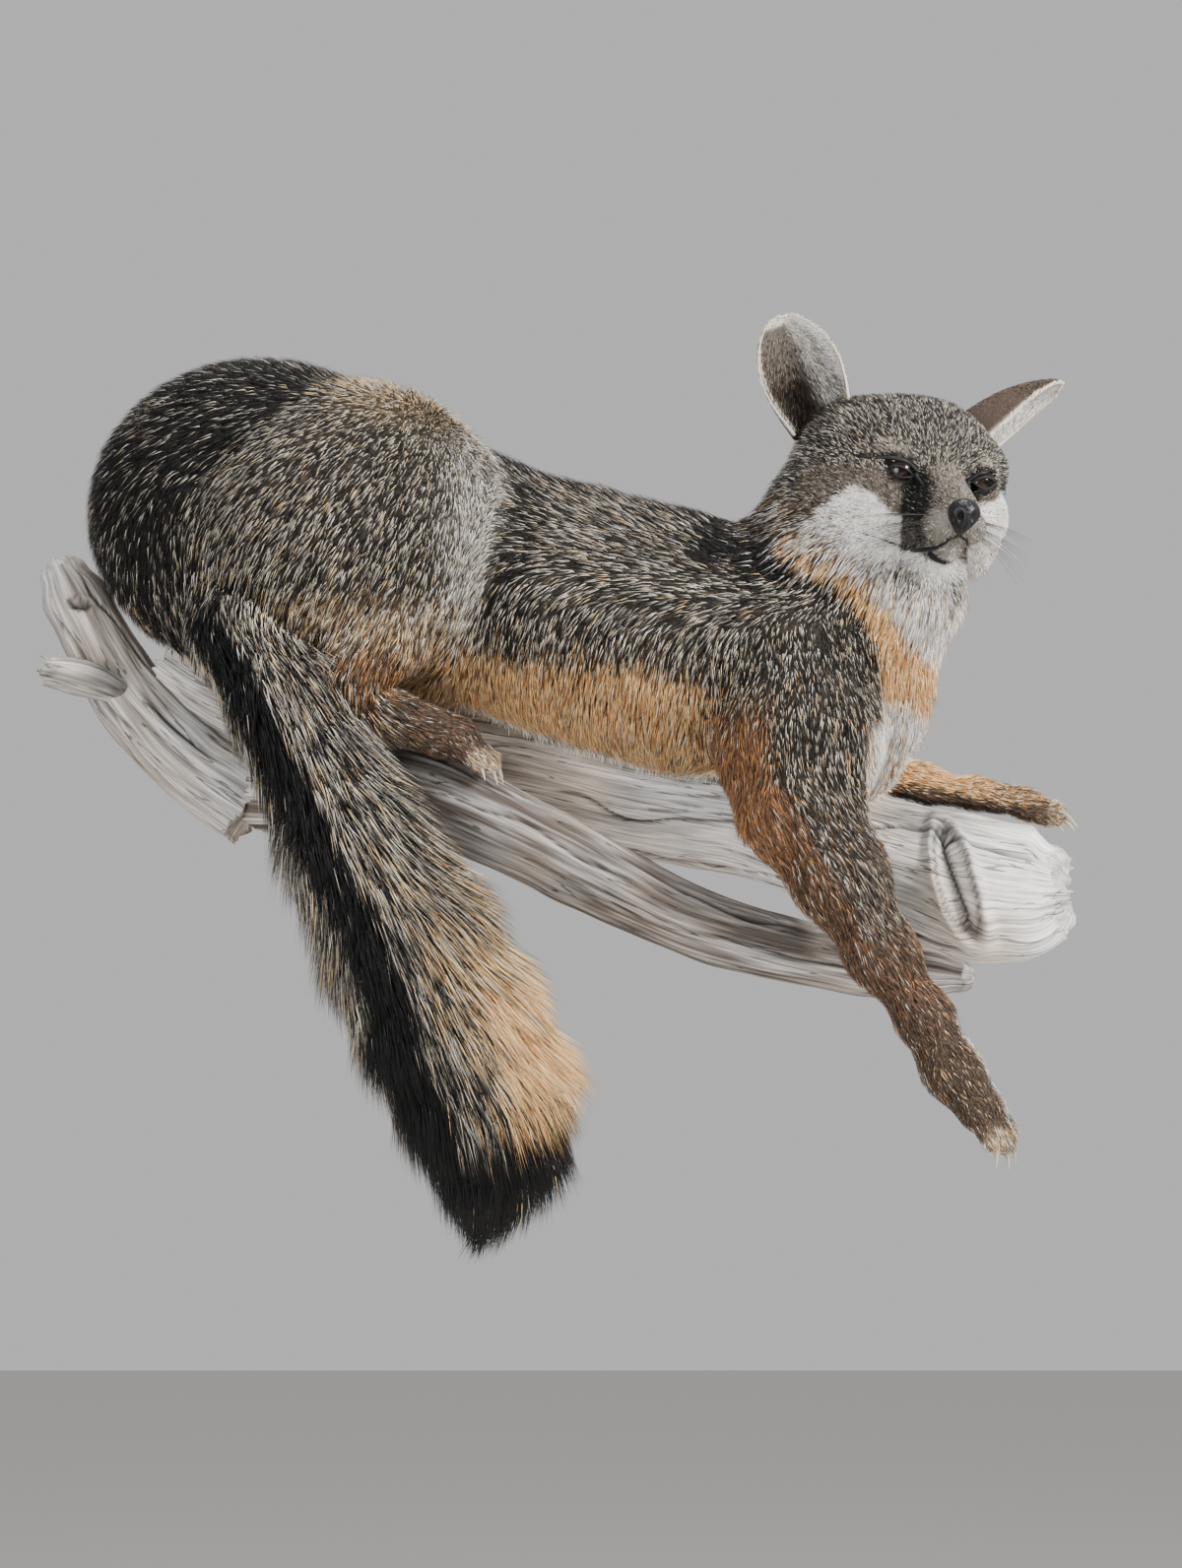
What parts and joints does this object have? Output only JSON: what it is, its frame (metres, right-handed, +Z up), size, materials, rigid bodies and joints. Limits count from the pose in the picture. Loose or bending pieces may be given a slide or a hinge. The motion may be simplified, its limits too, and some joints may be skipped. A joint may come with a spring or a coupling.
{
  "type": "taxidermy gray fox on driftwood",
  "caption": "Life-size mounted gray fox lounging along a forked driftwood perch, one foreleg and its bushy tail hanging; the perch hangs on a wall by a flat plate.",
  "frame": {"origin": "centre of the wall plate's back face, on the wall", "axes": "+Z up; +Y into the wall; +X from the fox's rump to its chest"},
  "size_m": [0.5748, 0.2028, 0.4737],
  "materials": {
    "fur_grizzled": "grizzled grey guard hair, matt",
    "fur_rufous": "rufous fur, matt",
    "fur_face": "short grey, white and dark fur",
    "fur_ear": "thin fur, pale inside",
    "eye_glass": "polished dark glass eye",
    "nose_leather": "black, slightly glossy",
    "claw_horn": "worn pale horn",
    "driftwood": "silver-grey weathered, cracked along the grain",
    "plate_wood": "plain sawn wood, oiled"
  },
  "bodies": {
    "root": {"trunk": "fur_grizzled", "neck": "fur_grizzled", "haunch_right": "fur_grizzled", "haunch_left": "fur_grizzled", "arm_right": "fur_grizzled", "arm_left": "fur_grizzled", "tail_root": "fur_grizzled", "tail_middle": "fur_grizzled", "tail_tip": "fur_grizzled", "hind_foot_right": "fur_rufous", "hind_foot_left": "fur_rufous", "forearm_right": "fur_rufous", "forepaw_right": "fur_rufous", "forearm_left": "fur_rufous", "forepaw_left": "fur_rufous", "head": "fur_face", "ear_right": "fur_ear", "ear_left": "fur_ear", "eye_right": "eye_glass", "eye_left": "eye_glass", "nose": "nose_leather", "claw_forepaw_right_1": "claw_horn", "claw_forepaw_right_2": "claw_horn", "claw_forepaw_right_3": "claw_horn", "claw_forepaw_right_4": "claw_horn", "claw_forepaw_left_1": "claw_horn", "claw_forepaw_left_2": "claw_horn", "claw_forepaw_left_3": "claw_horn", "claw_forepaw_left_4": "claw_horn", "claw_hind_foot_right_1": "claw_horn", "claw_hind_foot_right_2": "claw_horn", "claw_hind_foot_right_3": "claw_horn", "claw_hind_foot_right_4": "claw_horn", "claw_hind_foot_left_1": "claw_horn", "claw_hind_foot_left_2": "claw_horn", "claw_hind_foot_left_3": "claw_horn", "claw_hind_foot_left_4": "claw_horn", "log": "driftwood", "lower_branch": "driftwood", "knob_branch": "driftwood", "wall_plate": "plate_wood"}
  },
  "joints": []
}
